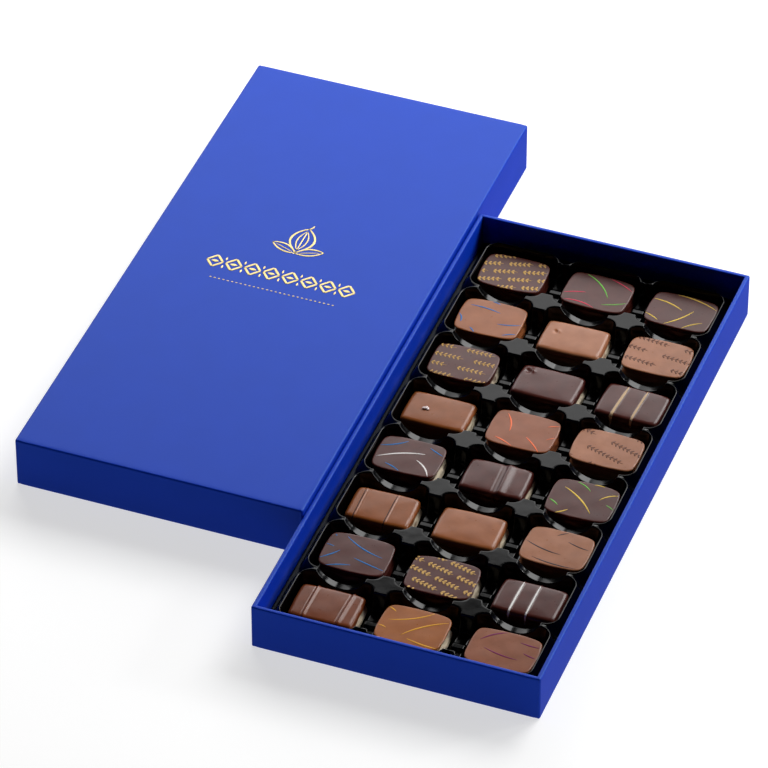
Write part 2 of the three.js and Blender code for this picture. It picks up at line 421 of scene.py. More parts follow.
def roundedTrack(halfX, halfY, corner):
    # One turn around a rounded rectangle, counterclockwise from the right side's middle, as the
    # corner's signs (shares between -1 and 1 along a side) and the outward direction at each point.
    near = np.array(boardMesh["nearCorner"])

    def side(half):
        straight = half - corner
        middle = straight - boardMesh["cornerZone"]
        places = np.arange(-middle, middle, boardMesh["sideStep"])
        return np.concatenate([-straight + near, places, straight - near[::-1]]) / straight

    shares = []
    angles = []
    quarter = np.pi / 2
    for index, (half, fixed) in enumerate([(halfY, 1), (halfX, 1), (halfY, -1), (halfX, -1)]):
        run = side(half) * (1 if index in (0, 3) else -1)
        steady = np.full(len(run), float(fixed))
        shares.append(np.stack([steady, run] if index % 2 == 0 else [run, steady], -1))
        angles.append(np.full(len(run), index * quarter))
        turn = np.linspace(0, 1, boardMesh["cornerSteps"] + 1)
        signs = [(1, 1), (-1, 1), (-1, -1), (1, -1)][index]
        shares.append(np.tile(np.array(signs, float), (len(turn), 1)))
        angles.append((index + turn) * quarter)
    angle = np.concatenate(angles)
    return np.concatenate(shares), np.stack([np.cos(angle), np.sin(angle)], -1)


def boardShell(low, high, board, openUp):
    # A shallow tray of covered board. Its section, from the middle of the outside face, runs round the
    # outer edge, up the wall, over the rim and down inside, as points (inset, height, bend radius).
    halfX, halfY = (high.x - low.x) / 2 / mm, (high.y - low.y) / 2 / mm
    tall = (high.z - low.z) / mm
    wall, floor, edge, rim = board["wall"], board["floor"], board["edge"], board["rim"]
    reach = min(halfX, halfY) - board["corner"]
    flat = boardMesh["flatRing"]
    section = filletedPath(
        [(reach, 0, 0), (flat, 0, 0), (0, 0, edge), (0, tall / 2, 0), (0, tall - board["band"], 0),
         (0, tall, rim), (wall, tall, rim), (wall, floor, boardMesh["insideBend"]),
         (flat + wall, floor, 0), (reach, floor, 0)],
        boardMesh["bendSteps"],
    )
    share, out = roundedTrack(halfX, halfY, board["corner"])
    inset = section[:, :1]
    height = section[:, 1]
    corner = np.maximum(board["corner"] - inset, boardMesh["leastCorner"])
    x = share[:, 0] * (halfX - inset - corner) + corner * out[:, 0]
    y = share[:, 1] * (halfY - inset - corner) + corner * out[:, 1]
    z = np.repeat(height[:, None], len(share), 1)
    # the side flaps are turned round the corner and lie under the end's paper: a shallow step
    toCorner = halfX - np.abs(x)
    onEnd = (np.abs(out[:, 1]) > boardMesh["endFacing"]) & (inset < wall / 2)
    under = 1 - smoothStep(*boardMesh["flapEdge"], toCorner)
    y = y - onEnd * np.sign(y) * board["flapDepth"] * under
    if not openUp:
        z = tall - z
        x = -x
    middle = (low + high) / 2 / mm
    rings = np.stack([x + middle.x, y + middle.y, z + low.z / mm], -1)
    return closedShell(rings)


# Edge and rim are bend radii, and the band is the height of the straight strip under the rim
base = {
    "wall": 2.0, "floor": 1.8, "corner": 0.9, "edge": 0.6, "rim": 0.7, "band": 2.2, "flapDepth": 0.12,
}
lid = {
    "wall": 1.8, "floor": 1.8, "corner": 1.1, "edge": 0.9, "rim": 0.5, "band": 2.0, "flapDepth": 0.14,
}

print("base and lid")

for nodeName, board, openUp in (("base_box", base, True), ("lid", lid, False)):
    low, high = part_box(nodeName)
    points, faces = boardShell(low, high, board, openUp)
    piece = makePiece("covered_" + nodeName, points, faces, [paper])
    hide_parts(nodeName)

# The formed tray

tray = {
    "pitch": (36.5, 31.5),
    "columns": 3,
    "rows": 8,
    "mouth": (15.65, 14.45),  # half a pocket's width and depth at the top
    "draft": (0.15, 1.2),  # how much less at the floor
    "corner": 5.0,
    "lip": 0.5,  # radius of the rounding over a pocket's edge
    "foot": 1.3,
    "floorAt": 2.7,
    "scoopHalf": 10.25,
    "scoopDepth": 6.4,
    "notchHalf": 10.45,
    "notchSlope": 1.2,
    "notchDepth": 8.3,
    "saddleHalf": 1.7,
    "saddleHeight": 1.1,
    "saddleSoft": 0.25,
    "soften": 0.7,  # over which scoops and notches round into the rim
    "skirt": 0.8,
    "marginSlope": 1.7,
    "marginDrop": 5.4,
    "marginSoft": 0.3,
    "webSlack": 0.9,
    "underInset": 2.0,
    "cornerCut": 0.5,
}

# Where a quarter of a pocket's outline has its points: up the side, round the corner, along the end
trayMesh = {
    "sideY": [0, 0.8, 1.4, 1.6, 1.8, 2.1, 3.4, 5.4, 7.4, 8.8, 9.1, 9.3],
    "cornerY": [9.45, 9.8, 10.1, 10.3, 10.45, 10.6, 10.9],  # close together where a notch ends
    "cornerAngles": [24, 34, 45, 56, 67, 79, 90],
    "endX": [10.6, 10.45, 10.3, 10.1, 9.7],  # close together where a scoop ends
    "endSteps": (9.1, 14),  # from there to the middle, in that many points
    "rimParts": (0, 0.45, 0.85, 1),
    "lipAngles": [22, 45, 68, 90],
    "footAngles": [0, 30, 60, 90],
    "underLip": 0.2,
    "overFoot": 0.4,
    "floorRing": 0.8,
    "marginParts": (0.15, 1, 8),
}


def softMinimum(a, b, width):
    # The lower of two heights, with a quadratic blend where they come within that width.
    share = np.clip(0.5 + 0.5 * (b - a) / width, 0, 1)
    return b + (a - b) * share - width * share * (1 - share)


def rimHeight(x, y, top, scoops, notches):
    # Height of the sheet between pockets: the flat rim, or a scoop's arc over x, or a notch over y.
    nothing = top + 9  # well above the rim, where there is no scoop or notch
    radius = (tray["scoopHalf"] ** 2 + tray["scoopDepth"] ** 2) / (2 * tray["scoopDepth"])
    bowl = top - tray["scoopDepth"] + radius - np.sqrt(np.maximum(radius**2 - x**2, 0))
    bowl = np.where(scoops & (np.abs(x) < tray["scoopHalf"] + tray["soften"]), bowl, nothing)
    away = np.abs(y)
    foot = top - tray["notchDepth"]
    slope = tray["notchDepth"] / tray["notchSlope"]
    ramp = foot + (away - tray["notchHalf"] + tray["notchSlope"]) * slope
    groove = -softMinimum(-ramp, np.full_like(ramp, -foot), tray["soften"])
    half, soft = tray["saddleHalf"], tray["saddleSoft"]
    groove = groove + tray["saddleHeight"] * (1 - smoothStep(half - soft, half + soft, away))
    groove = np.where(notches, groove, nothing)
    return softMinimum(np.full_like(x, top), np.minimum(bowl, groove), tray["soften"])


def pocketTrack():
    # One turn round a pocket's mouth: signs along its sides, outward direction, and the point on the
    # cell's border that each is joined to.
    halfX, halfY = tray["mouth"]
    corner = tray["corner"]
    cellX, cellY = tray["pitch"][0] / 2, tray["pitch"][1] / 2
    sideY, cornerY = np.array(trayMesh["sideY"]), np.array(trayMesh["cornerY"])
    turned = np.degrees(np.arcsin((cornerY - halfY + corner) / corner))
    turned = np.concatenate([turned, trayMesh["cornerAngles"]])
    farX, count = trayMesh["endSteps"]
    topX = np.concatenate([trayMesh["endX"], np.linspace(farX, 0, count)])
    angle = np.radians(turned)
    share = np.concatenate([
        np.stack([np.ones(len(sideY)), sideY / (halfY - corner)], -1),
        np.ones((len(turned), 2)),
        np.stack([topX / (halfX - corner), np.ones(len(topX))], -1),
    ])
    out = np.concatenate([
        np.tile([1.0, 0.0], (len(sideY), 1)),
        np.stack([np.cos(angle), np.sin(angle)], -1),
        np.tile([0.0, 1.0], (len(topX), 1)),
    ])
    parallel = turned[len(cornerY) - 1]
    borderY = np.where(
        turned <= parallel,
        halfY - corner + corner * np.sin(angle),
        cornerY[-1] + (cellY - cornerY[-1]) * np.clip((turned - parallel) / (45 - parallel), 0, 1),
    )
    borderX = cellX + (halfX - corner - cellX) * np.clip((turned - 45) / 45, 0, 1)
    border = np.concatenate([
        np.stack([np.full(len(sideY), cellX), sideY], -1),
        np.stack([borderX, borderY], -1),
        np.stack([topX, np.full(len(topX), cellY)], -1),
    ])

    def fourQuarters(values):
        flipX, flipY = np.array([-1, 1]), np.array([1, -1])
        quarters = [values[:-1], values[::-1][:-1] * flipX, values[:-1] * -1, values[::-1][:-1] * flipY]
        return np.concatenate(quarters)

    return fourQuarters(share), fourQuarters(out), fourQuarters(border)


def trayCell(column, row, top, track):
    # One pocket and the rim round it, as rings from the cell's border in over the lip and down.
    share, out, border = track
    halfX, halfY = tray["mouth"]
    deep = top - tray["floorAt"]

    def pocketRing(height, proud):
        # The pocket's outline at that height, moved out by proud.
        down = (top - height) / deep
        corner = tray["corner"]
        x = share[:, 0] * (halfX - tray["draft"][0] * down - corner) + (corner + proud) * out[:, 0]
        y = share[:, 1] * (halfY - tray["draft"][1] * down - corner) + (corner + proud) * out[:, 1]
        return np.stack([x, y, height], -1)

    nominal = pocketRing(np.full(len(share), top), 0.0)
    scoops = np.where(border[:, 1] > 0, row > 0, row < tray["rows"] - 1)
    notches = np.where(border[:, 0] > 0, column < tray["columns"] - 1, column > 0)
    rim = rimHeight(nominal[:, 0], nominal[:, 1], top, scoops, notches)
    lip, foot, floorAt = tray["lip"], tray["foot"], tray["floorAt"]
    lipStart = pocketRing(rim, lip)
    edge = np.concatenate([border, rim[:, None]], -1)
    rings = [edge + (lipStart - edge) * part for part in trayMesh["rimParts"]]
    for lean in np.radians(trayMesh["lipAngles"]):
        rings.append(pocketRing(rim - lip * (1 - np.cos(lean)), lip * (1 - np.sin(lean))))
    wallFoot = floorAt + foot + trayMesh["overFoot"]
    rings.append(pocketRing(np.minimum(rim - lip - trayMesh["underLip"], wallFoot), 0.0))
    for lean in np.radians(trayMesh["footAngles"]):
        height = np.full(len(share), floorAt + foot * (1 - np.sin(lean)))
        rings.append(pocketRing(height, -foot * (1 - np.cos(lean))))
    rings.append(rings[-1] * (trayMesh["floorRing"], trayMesh["floorRing"], 1))
    rings = np.array(rings)
    x = (column - (tray["columns"] - 1) / 2) * tray["pitch"][0]
    y = ((tray["rows"] - 1) / 2 - row) * tray["pitch"][1]
    rings[:, :, 0] += x
    rings[:, :, 1] += y
    rows, columns, _ = rings.shape
    points = np.concatenate([rings.reshape(-1, 3), rings[-1:].mean(1)])
    here = np.arange(columns)
    last = (rows - 1) * columns
    middle = np.stack([last + here, last + (here + 1) % columns, np.full(columns, rows * columns)], -1)
    return points, gridFaces(rows, columns).tolist() + middle.tolist()


def trayMargin(low, high, top, track):
    # The flat margin outside all the cells, the rounded outer edge, the skirt and the underside.
    border = track[2]
    pitchX, pitchY = tray["pitch"]
    rightSide = border[border[:, 0] == pitchX / 2]
    rightSide = rightSide[np.argsort(rightSide[:, 1])][:, 1]
    topSide = border[border[:, 1] == pitchY / 2]
    topSide = topSide[np.argsort(topSide[:, 0])][:, 0]
    columnsAt = (np.arange(tray["columns"]) - (tray["columns"] - 1) / 2) * pitchX
    rowsAt = (np.arange(tray["rows"]) - (tray["rows"] - 1) / 2) * pitchY
    alongX = np.unique(np.round((columnsAt[:, None] + topSide).ravel(), 4))
    alongY = np.unique(np.round((rowsAt[:, None] + rightSide).ravel(), 4))
    edgeX, edgeY = alongX[-1], alongY[-1]
    loop = np.concatenate([
        np.stack([np.full(len(alongY) - 1, edgeX), alongY[:-1]], -1),
        np.stack([alongX[::-1][:-1], np.full(len(alongX) - 1, edgeY)], -1),
        np.stack([np.full(len(alongY) - 1, -edgeX), alongY[::-1][:-1]], -1),
        np.stack([alongX[:-1], np.full(len(alongX) - 1, -edgeY)], -1),
    ])
    outerX, outerY = (high.x - low.x) / 2 / mm, (high.y - low.y) / 2 / mm
    bottom = low.z / mm
    onEdge = np.abs(loop) >= np.array([edgeX, edgeY]) - 1e-6

    def outline(inset):
        # The loop's points moved straight out to the tray's outline, less that inset.
        moved = np.where(onEdge, np.sign(loop) * (outerX - inset, outerY - inset), loop)
        corner = np.all(onEdge, axis=1)
        return moved - corner[:, None] * np.sign(moved) * tray["cornerCut"]

    def ring(points, height):
        return np.concatenate([points, np.full((len(points), 1), height)], -1)

    skirt = tray["skirt"]
    rings = [ring(outline(tray["underInset"]), bottom), ring(outline(0.0), bottom)]
    for lean in np.radians(trayMesh["footAngles"]):
        rings.append(ring(outline(skirt * (1 - np.cos(lean))), top - skirt * (1 - np.sin(lean))))
    inner = ring(loop, top)
    rings += [rings[-1] + (inner - rings[-1]) * part for part in np.linspace(*trayMesh["marginParts"])]
    rings = np.array(rings)
    rows, columns, _ = rings.shape
    points = np.concatenate([rings.reshape(-1, 3), rings[:1].mean(1)])
    here = np.arange(columns)
    under = np.stack([np.full(columns, rows * columns), (here + 1) % columns, here], -1)
    return points, gridFaces(rows, columns).tolist() + under.tolist()


def marginFall(points, top):
    # How far the sheet lies under the rim outside the pockets: it falls with the distance from the
    # nearest pocket's rounded outline, and only outside the outer pockets' corners.
    away = np.abs(points[:, :2])
    middles = []
    outside = []
    counts = (tray["columns"], tray["rows"])
    for axis, (count, pitch, half) in enumerate(zip(counts, tray["pitch"], tray["mouth"])):
        last = (count - 1) / 2 * pitch
        offset = last % pitch
        middles.append(np.minimum(np.round((away[:, axis] - offset) / pitch) * pitch + offset, last))
        start, full = last + half - tray["corner"], last + half + tray["marginSoft"]
        outside.append(smoothStep(start, full, away[:, axis]))
    local = np.abs(away - np.stack(middles, -1)) - (np.array(tray["mouth"]) - tray["corner"])
    beyond = np.hypot(*np.maximum(local, 0).T) - tray["corner"] - tray["lip"]
    slack = tray["webSlack"] * (1 - np.maximum(*outside))
    fall = np.minimum(np.maximum(beyond - slack, 0) * tray["marginSlope"], tray["marginDrop"])
    return np.where(points[:, 2] > top / 2, fall * np.maximum(*outside), 0)


def weldMesh(piece):
    # Points that lie on each other become one.
    work = bmesh.new()
    work.from_mesh(piece.data)
    bmesh.ops.remove_doubles(work, verts=work.verts, dist=weldWithin * mm)
    work.to_mesh(piece.data)
    work.free()


print("tray")

trayLow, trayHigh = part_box("tray")
trayTop = trayHigh.z / mm
track = pocketTrack()
trayShapes = []
for row in range(tray["rows"]):
    trayShapes += [trayCell(column, row, trayTop, track) for column in range(tray["columns"])]
trayShapes.append(trayMargin(trayLow, trayHigh, trayTop, track))
trayPoints, trayFaces = joinShapes(trayShapes)
trayPoints[:, 2] -= marginFall(trayPoints, trayTop)
formedTray = makePiece("formed_tray", trayPoints, trayFaces, [blackPlastic])
weldMesh(formedTray)
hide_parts("tray")

# Pralines

pralineShapes = {
    "cut": {
        "power": 8.5,  # of the outline's superellipse
        "barrel": (0.055, 0.075),  # share by which the sides and the ends draw in towards the corners
        "side": [  # inset from the widest outline, and height
            (2.4, 0), (0.7, 0.03), (0.1, 0.2), (-0.15, 0.7), (-0.05, 1.4), (0.2, 2.2), (0.6, 3.3),
            (0.95, 4.5), (0.95, 5.5), (0.45, 6.6), (0.14, 7.2), (0.17, 7.5), (0.45, 7.72),
        ],
        "crown": 0.05,
        "wobble": 0.1,
        "wave": 0.16,
    },
    "dipped": {
        "power": 13.0,
        "barrel": (0.02, 0.03),
        "side": [
            (2.4, 0), (0.7, 0.03), (0.1, 0.25), (-0.15, 0.8), (-0.05, 1.5), (0.2, 2.3), (0.6, 3.3),
            (0.8, 4.2), (0.5, 5.1), (0.42, 5.9), (0.7, 6.75), (1.3, 7.3), (2.1, 7.55),
        ],
        "crown": 0.2,
        "wobble": 0.08,
        "wave": 0.14,
    },
}
pralineMesh = {"plain": (64, 48), "ridged": (150, 64), "sideSteps": 4}
pralineRelief = {
    "crownPower": 3,  # how late the top's crown falls off towards the rim
    "swell": 0.05,  # slow unevenness of the top, its wavelength, and how late it fades out
    "swellLength": 17.0,
    "swellPower": 6,
    "strayWaves": [(2, 1.0, 1.0), (5, 2.1, 1.0), (11, 3.7, 0.7)],  # how many round it, phase, height
    "strayPower": 6,  # how late the top's points start to follow the outline
    "waveLength": 3.1,  # the side's waves: upright distance between two, how their phase wanders
    "wander": 0.35,
    "wanderLength": 19.0,
    "wavePhase": 0.37,  # from one praline to the next
    "wavesStart": (0.7, 1.8),
    "wavesEnd": (5.4, 6.8),
    "ridgeFlanks": (0.6, 1.35),  # widths of a ridge's left and right flank
    "grooveDepth": 0.3,
    "grooveAt": 1.5,
    "grooveWidth": 0.5,
    "ridgeFoot": (1.2, 4.0),  # heights between which a ridge grows on the side
    "shoulder": 6.0,  # above it a ridge stands up from the top instead of out from the side
    "dimpleLip": (1.0, 0.3),  # where a dimple's lip lies from its middle, in radii
}

# Every praline: how it is shaped, its chocolate and its turn in the pocket
pralines = {
    "a1": ("cut", "dark", 1), "b1": ("cut", "dark", -1), "c1": ("cut", "dark", -1),
    "a2": ("cut", "milk", 1), "b2": ("dipped", "paleMilk", 1), "c2": ("cut", "paleMilk", 1),
    "a3": ("cut", "dark", 1), "b3": ("dipped", "dark", -1), "c3": ("dipped", "dark", -1.5),
    "a4": ("dipped", "warmMilk", 0), "b4": ("cut", "rosyMilk", 0), "c4": ("cut", "paleMilk", 0),
    "a5": ("cut", "dark", 1), "b5": ("dipped", "dark", 1), "c5": ("cut", "dark", 1),
    "a6": ("dipped", "warmMilk", 1), "b6": ("dipped", "milk", 1), "c6": ("cut", "paleMilk", 0),
    "a7": ("cut", "dark", 1), "b7": ("cut", "dark", 2), "c7": ("dipped", "dark", 0),
    "a8": ("dipped", "deepMilk", 1), "b8": ("cut", "goldenMilk", 0), "c8": ("cut", "rosyMilk", 0),
}

# Where the lower right side carries a cream painted highlight: how strongly, and how high it reaches at the
# front and the back
paintedHighlightSides = {
    "a3": (0.75, 2.7, 4.4), "a4": (1.0, 4.2, 4.6), "a5": (1.0, 4.0, 5.0), "a6": (0.9, 3.6, 4.6),
    "b2": (1.0, 3.6, 4.4), "b3": (0.95, 3.8, 3.6), "b5": (0.8, 3.8, 2.8), "b6": (1.0, 4.0, 4.4),
    "b7": (0.85, 4.4, 4.8), "a8": (0.8, 2.6, 5.2), "b8": (0.95, 4.2, 5.0),
}
# The painted highlight's uneven upper edge, how far the side must face right to carry it, and darker streaks
# across it
paintedHighlightEdge = {
    "uneven": 0.3,
    "unevenLean": 0.3,
    "unevenLength": 8.0,
    "soft": 0.2,
    "turn": (0.6, 0.9),  # how far the side has to face right
    "streakLean": 0.8,
    "streakStretch": 2.5,
    "streakLength": 11.0,
    "streakShare": (-0.8, -0.35),
    "streakLeaves": 0.3,  # how pale a streak still is
    "streakSeed": 3,
}

# Ridges that run from the back over the top and down the front: place, half width, height, and how far
# the front end lies to the right of the back end
ridges = {
    "c3": [(-5.4, 0.45, 0.3, -1.2), (3.1, 0.4, 0.3, -0.8)],
    "b5": [(3.4, 1.7, 0.75, 0.4)],
    "a6": [(-9.4, 0.35, 0.2, 0.3), (3.8, 0.35, 0.22, 0.0)],
    "c7": [(-5.4, 0.4, 0.3, -0.4), (1.6, 0.35, 0.3, -0.2)],
    "a8": [(-6.8, 0.6, 0.5, -0.4), (7.9, 0.7, 0.55, -1.0)],
}

# Small dimples left by a tool: place, radius, depth, and the height of the lip beside it
dimples = {
    "b2": [(-8.3, 2.2, 1.0, 0.6, 0.3)],
    "b3": [(-10.2, 5.2, 1.3, 0.75, 0.6)],
}


class Praline:
    # One praline's place, outline and relief; x and y are its own, in millimetres from its middle.

    def __init__(self, name):
        kind, self.cocoa, turn = pralines[name]
        self.name = name
        self.shape = pralineShapes[kind]
        self.power = self.shape["power"]
        self.seed = sorted(pralines).index(name)
        low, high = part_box("praline_" + name)
        self.half = np.array([high.x - low.x, high.y - low.y]) / 2 / mm
        self.middle = np.array([low.x + high.x, low.y + high.y, 2 * low.z]) / 2 / mm
        self.angle = np.radians(turn)
        self.section = smoothPath(self.shape["side"], pralineMesh["sideSteps"])
        self.rimInset, self.rimHeight = self.section[-1]
        self.ridges = ridges.get(name, [])

    def toWorld(self, points):
        # Turned about the upright axis and moved to the praline's place in its pocket.
        c, s = np.cos(self.angle), np.sin(self.angle)
        x, y = points[..., 0], points[..., 1]
        return np.stack([x * c - y * s, x * s + y * c, points[..., 2]], -1) + self.middle

    def outward(self, x, y):
        # How far out a point lies: 0 in the middle and 1 on the top's rim.
        half = self.half - self.rimInset
        shareX, shareY = self.bowed(x / half[0], y / half[1], -1)
        return (np.abs(shareX) ** self.power + np.abs(shareY) ** self.power) ** (1 / self.power)

    def bowed(self, shareX, shareY, way=1):
        # The shares of the half sizes, drawn in towards the corners so that each side bows out.
        ends, sides = self.shape["barrel"]
        return shareX * (1 - way * ends * shareY**2), shareY * (1 - way * sides * shareX**2)

    def ridgeHeight(self, x, y):
        # A bell curve over x for each ridge, steeper at its left and with a shallow groove there; its
        # middle drifts sideways from back to front.
        relief = pralineRelief
        total = np.zeros_like(x)
        for at, halfWidth, height, drift in self.ridges:
            away = (x - at + drift * y / self.half[1] / 2) / halfWidth
            bell = np.exp(-((away / np.where(away < 0, *relief["ridgeFlanks"])) ** 2))
            groove = np.exp(-(((away + relief["grooveAt"]) / relief["grooveWidth"]) ** 2))
            total = total + height * (bell - relief["grooveDepth"] * groove)
        return total

    def topHeight(self, x, y):
        # The top over its own bottom: a low crown, slow unevenness, ridges and dimples.
        relief = pralineRelief
        out = np.minimum(self.outward(x, y), 1)
        height = self.rimHeight + self.shape["crown"] * (1 - out ** relief["crownPower"])
        swell = relief["swell"] * ripple(x, y, self.seed, relief["swellLength"])
        height = height + swell * (1 - out ** relief["swellPower"]) + self.ridgeHeight(x, y)
        lipX, lipY = relief["dimpleLip"]
        for atX, atY, radius, depth, lip in dimples.get(self.name, []):
            away = np.hypot(x - atX, y - atY) / radius
            beside = np.hypot(x - atX - lipX * radius, y - atY - lipY * radius) / radius
            height = height - depth * np.exp(-(away**2)) + lip * np.exp(-(beside**2))
        return height

    def outwardShift(self, x, y):
        # How far the outline strays from the superellipse there, always inwards: sine waves round it,
        # divided by their greatest sum.
        bearing = np.arctan2(y / self.half[1], x / self.half[0])
        waves, greatest = 0, 0
        for count, phase, height in pralineRelief["strayWaves"]:
            waves = waves + height * np.sin(count * bearing + phase * self.seed)
            greatest += height
        return -self.shape["wobble"] * (1 + waves / greatest)

    def paintedHighlightShare(self, y, outX, height):
        # 1 where the lower right side carries the cream painted highlight: below a height that changes
        # from front to back, with an uneven upper edge and a few darker streaks across it.
        strength, front, back = paintedHighlightSides.get(self.name, (0, 1, 1))
        edge = paintedHighlightEdge
        reach = front + (back - front) * (0.5 + y / self.half[1] / 2)
        uneven = ripple(y, edge["unevenLean"] * height, self.seed, edge["unevenLength"])
        reach = reach + edge["uneven"] * uneven
        leaning = y + edge["streakLean"] * height
        seed = self.seed + edge["streakSeed"]
        streaks = ripple(leaning, edge["streakStretch"] * height, seed, edge["streakLength"])
        between = smoothStep(*edge["streakShare"], streaks)
        inside = 1 - smoothStep(reach - edge["soft"], reach + edge["soft"], height)
        inside = inside * smoothStep(*edge["turn"], outX)
        return strength * inside * (edge["streakLeaves"] + (1 - edge["streakLeaves"]) * between)

    def meshCounts(self):
        # How many steps the top has across and along; what has small relief is finer.
        ridged = self.ridges or self.name in dimples
        return pralineMesh["ridged" if ridged else "plain"]

    def drawnIn(self, points):
        # Points of the square from -1 to 1, drawn in so that its edge lies on the superellipse.
        edge = np.max(np.abs(points), -1, keepdims=True)
        onEdge = np.abs(points) / np.maximum(edge, 1e-9)
        return points / np.maximum((onEdge**self.power).sum(-1, keepdims=True), 1) ** (1 / self.power)

    def facing(self, share):
        # The level direction in which a superellipse through those points faces.
        slope = np.sign(share) * np.abs(share) ** (self.power - 1) / self.half
        return slope / np.maximum(np.linalg.norm(slope, axis=-1, keepdims=True), 1e-9)

    def sideWaves(self, x, y, height):
        # Two or three lengthwise waves in the side, whose phase wanders along it.
        relief = pralineRelief
        wander = relief["wander"] * ripple(x + y, x - y, self.seed, relief["wanderLength"])
        phase = height / relief["waveLength"] + wander + relief["wavePhase"] * self.seed
        window = smoothStep(*relief["wavesStart"], height) * (1 - smoothStep(*relief["wavesEnd"], height))
        return self.shape["wave"] * np.sin(fullTurn * phase) * window

    def sideSurface(self):
        # The section carried round the superellipse, with a fan underneath, and how much painted highlight
        # each point carries.
        across, along = self.meshCounts()
        a, b = np.linspace(-1, 1, across + 1), np.linspace(-1, 1, along + 1)
        loop = np.concatenate([
            np.stack([np.ones(along), b[:-1]], -1),
            np.stack([a[:0:-1], np.ones(across)], -1),
            np.stack([-np.ones(along), b[:0:-1]], -1),
            np.stack([a[:-1], -np.ones(across)], -1),
        ])
        share = self.drawnIn(loop)
        out = self.facing(share)
        inset, height = self.section[:, :1], self.section[:, 1:]
        x, y = self.bowed(share[:, 0], share[:, 1])
        x, y = x * (self.half[0] - inset), y * (self.half[1] - inset)
        ridge = self.ridgeHeight(x, y)
        upright = smoothStep(pralineRelief["shoulder"], self.rimHeight, height)
        proud = ridge * (1 - upright) * smoothStep(*pralineRelief["ridgeFoot"], height)
        outwards = self.outwardShift(x, y) + self.sideWaves(x, y, height) + proud
        rings = np.stack([x + out[:, 0] * outwards, y + out[:, 1] * outwards, height + ridge * upright], -1)
        rows, columns, _ = rings.shape
        points = np.concatenate([rings.reshape(-1, 3), rings[:1].mean(1)])
        here = np.arange(columns)
        under = np.stack([np.full(columns, rows * columns), (here + 1) % columns, here], -1)
        paintedHighlight = self.paintedHighlightShare(y, out[:, 0], height).ravel()
        return points, gridFaces(rows, columns).tolist() + under.tolist(), paintedHighlight

    def topSurface(self):
        # A grid over the square from -1 to 1, drawn in; its rim is the side's last ring.
        across, along = self.meshCounts()
        grid = np.stack(np.meshgrid(np.linspace(-1, 1, across + 1), np.linspace(-1, 1, along + 1)), -1)
        share = self.drawnIn(grid)
        out = self.facing(share)
        half = self.half - self.rimInset
        x, y = self.bowed(share[..., 0], share[..., 1])
        x, y = x * half[0], y * half[1]
        edge = np.max(np.abs(grid), -1)
        strayed = self.outwardShift(x, y) * edge ** pralineRelief["strayPower"]
        height = np.where(edge < 1, self.topHeight(x, y), self.rimHeight + self.ridgeHeight(x, y))
        points = np.stack([x + out[..., 0] * strayed, y + out[..., 1] * strayed, height], -1)
        start = (np.arange(along)[:, None] * (across + 1) + np.arange(across)).ravel()
        faces = np.stack([start, start + 1, start + across + 2, start + across + 1], -1)
        return points.reshape(-1, 3), faces.tolist()

    def surface(self):
        # The whole praline in its place, and how much painted highlight each point carries; the top carries
        # none.
        side, sideFaces, sidePaintedHighlight = self.sideSurface()
        points, faces = joinShapes([(side, sideFaces), self.topSurface()])
        paintedHighlight = np.zeros(len(points))
        paintedHighlight[: len(sidePaintedHighlight)] = sidePaintedHighlight
        return self.toWorld(points), faces, paintedHighlight


print("pralines")

boxed = {name: Praline(name) for name in pralines}
for name, praline in boxed.items():
    points, faces, paintedHighlight = praline.surface()
    piece = makePiece("chocolate_" + name, points, faces, [cocoas[praline.cocoa]])
    # the painted highlight's share per point, which the chocolate material mixes in as cream
    piece.data.attributes.new("paintedHighlight", "FLOAT", "POINT").data.foreach_set("value", paintedHighlight)
    weldMesh(piece)
    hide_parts("praline_" + name)

# Decoration: thin lines of coloured cocoa butter

lineColors = {
    "blue": (0.004, 0.15, 0.44),
    "white": (0.78, 0.75, 0.72),
    "green": (0.15, 0.48, 0.065),
    "pink": (0.66, 0.035, 0.085),
    "yellow": (0.74, 0.5, 0.07),
    "orange": (0.84, 0.17, 0.065),
    "slate": (0.022, 0.017, 0.03),
    "amber": (0.66, 0.31, 0.015),
    "magenta": (0.155, 0.004, 0.06),
    "gold": (0.52, 0.31, 0.09),
    "tan": (0.5, 0.34, 0.2),
    "brown": (0.03, 0.008, 0.006),
    "umber": (0.13, 0.05, 0.03),
}
lineFinish = {name: icing("line_" + name, color, icingLook) for name, color in lineColors.items()}
lineMesh = {"along": 18, "around": 8, "height": 0.07, "widen": 1.2, "taper": 0.6, "fewest": 4}
sprigMesh = {"along": 7, "taper": 0.4}
taperEnds = (0.02, 0.98)  # where on a line its ends' widths are taken, so that no end is a point


def ribbon(path, normal, halfWidth, halfHeight):
    # A flat tube: an ellipse carried along the path, its long axis level with the surface.
    tangent = np.gradient(path, axis=0)
    tangent /= np.linalg.norm(tangent, axis=1, keepdims=True)
    across = np.cross(normal, tangent)
    across /= np.linalg.norm(across, axis=1, keepdims=True)
    turn = np.arange(lineMesh["around"]) * fullTurn / lineMesh["around"]
    wide = across[:, None] * (halfWidth[:, None] * np.cos(turn))[..., None]
    high = normal[:, None] * (halfHeight[:, None] * np.sin(turn))[..., None]
    return closedShell(path[:, None] + wide + high)


def bowedLine(start, end, bow, count):
    # Points on a parabola from start to end, bowed to its left by that many millimetres at mid length.
    share = np.linspace(0, 1, count)[:, None]
    start, end = np.array(start, float), np.array(end, float)
    chord = end - start
    left = np.array([-chord[1], chord[0]]) / np.linalg.norm(chord)
    return start + chord * share + left * bow * 4 * share * (1 - share)


def taperedWidth(halfWidth, count, taper):
    # A half width along a line: a sine from end to end, to a power that says how blunt the ends are.
    share = np.linspace(*taperEnds, count)
    return halfWidth * np.sin(np.pi * share) ** taper


def upwards(path):
    return np.tile([0.0, 0.0, 1.0], (len(path), 1))


